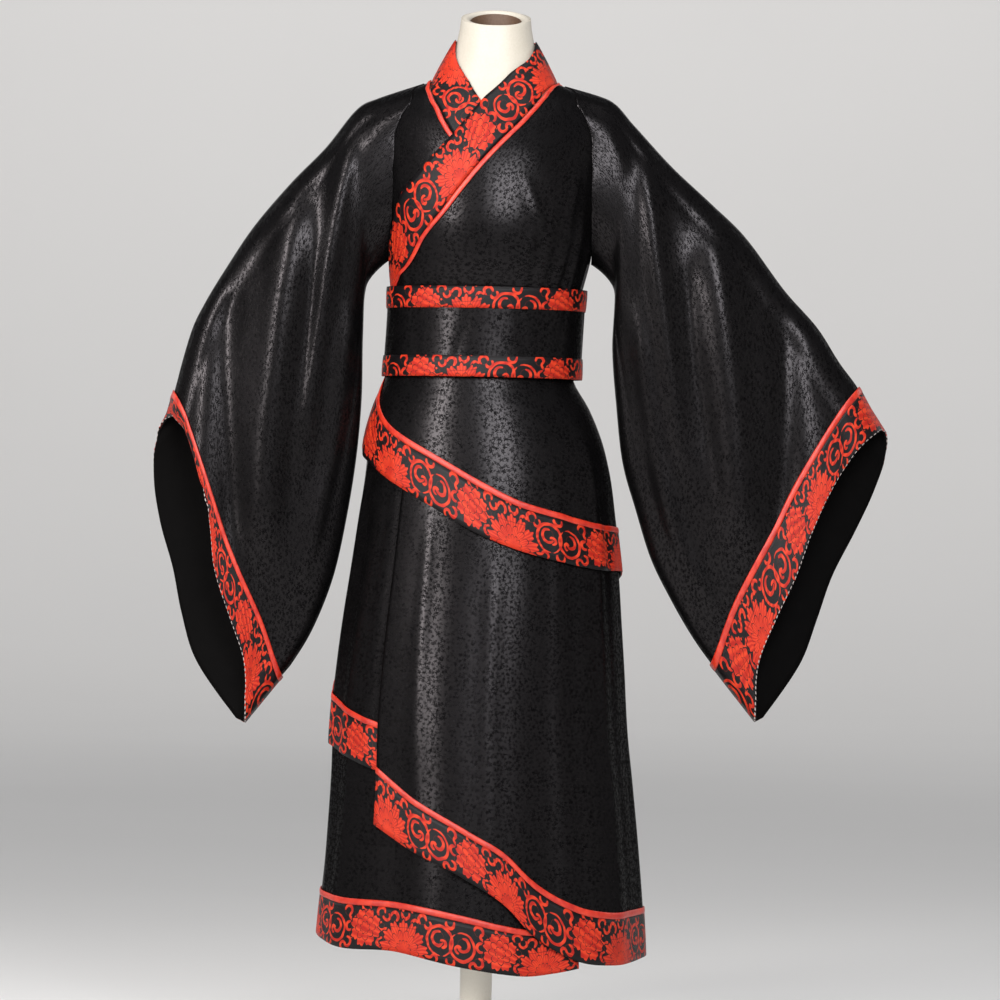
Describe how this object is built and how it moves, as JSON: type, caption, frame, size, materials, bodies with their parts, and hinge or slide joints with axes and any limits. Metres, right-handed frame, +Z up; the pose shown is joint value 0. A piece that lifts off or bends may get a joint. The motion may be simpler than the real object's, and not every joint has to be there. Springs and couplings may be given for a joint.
{
  "type": "hanfu robe on dress form",
  "caption": "Wrapped cross-collar robe with very wide sleeves, a wide belt and a spiral skirt trimmed with brocade, on a limbless dress form.",
  "frame": {"origin": "centre of the stand's base on the floor, under the pole", "axes": "+Z up, the robe's front faces -Y, the wearer's left is +X"},
  "size_m": [1.105, 0.4158, 1.5699],
  "materials": {
    "satin": "black jacquard satin",
    "brocade": "red and black brocade",
    "piping": "red-orange satin ribbon",
    "form": "ivory, softly matt"
  },
  "bodies": {
    "root": {"form_torso": "form", "form_pole": "form", "form_base": "form", "back_bodice": "satin", "front_over": "satin", "front_under": "satin", "sleeve_left_front": "satin", "sleeve_left_back": "satin", "sleeve_right_front": "satin", "sleeve_right_back": "satin", "cuff_band_left": "brocade", "cuff_band_right": "brocade", "cuff_piping_left": "piping", "cuff_piping_right": "piping", "collar_over": "brocade", "collar_back": "brocade", "collar_under": "brocade", "collar_piping_over": "piping", "collar_piping_back": "piping", "collar_piping_under": "piping", "belt_panel": "satin", "belt_band_top": "brocade", "belt_band_bottom": "brocade", "outer_wrap_front": "satin", "outer_wrap_front_band": "brocade", "outer_wrap_front_piping": "piping", "outer_wrap_back": "satin", "outer_wrap_back_band": "brocade", "outer_wrap_back_piping": "piping", "outer_wrap_end": "satin", "outer_wrap_end_band": "brocade", "outer_wrap_end_piping": "piping", "inner_wrap_front": "satin", "inner_wrap_front_band": "brocade", "inner_wrap_front_piping": "piping", "inner_wrap_back": "satin", "inner_wrap_back_band": "brocade", "inner_wrap_back_piping": "piping", "inner_wrap_hem": "satin", "inner_wrap_hem_band": "brocade", "inner_wrap_hem_piping": "piping"}
  },
  "joints": []
}
